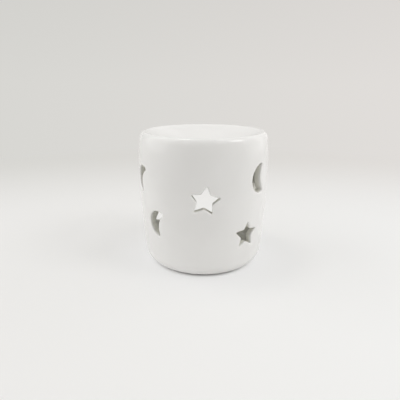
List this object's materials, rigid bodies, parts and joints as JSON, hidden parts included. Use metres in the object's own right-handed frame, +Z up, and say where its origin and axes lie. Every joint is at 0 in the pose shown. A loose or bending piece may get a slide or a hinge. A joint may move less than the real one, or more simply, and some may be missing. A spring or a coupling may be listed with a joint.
{
  "type": "tealight holder",
  "caption": "White glazed barrel-shaped tealight holder with star and crescent cut-outs, a shallow dish on top and an arched rear opening for a tealight.",
  "frame": {"origin": "on the body's axis at the table, under the foot ring", "axes": "+Z up along the body's axis; the pictured front with the star faces -Y; the arched opening faces +Y; +X is the picture's right"},
  "size_m": [0.08, 0.08, 0.082],
  "materials": {
    "glaze": "glossy white glaze over white clay",
    "cup_metal": "bright pressed sheet",
    "wax": "soft white wax",
    "tab_metal": "tin-plated pressed sheet",
    "wick_cotton": "waxed cotton"
  },
  "bodies": {
    "holder": {"ceramic_body": "glaze"},
    "tealight": {"tealight_cup": "cup_metal", "tealight_wax": "wax", "wick_tab": "tab_metal", "wick": "wick_cotton"}
  },
  "joints": [
    {"name": "tealight_slide", "type": "slide", "parent": "holder", "child": "tealight", "axis": [0, 1, 0], "range_m": [-0.008, 0.07]}
  ]
}
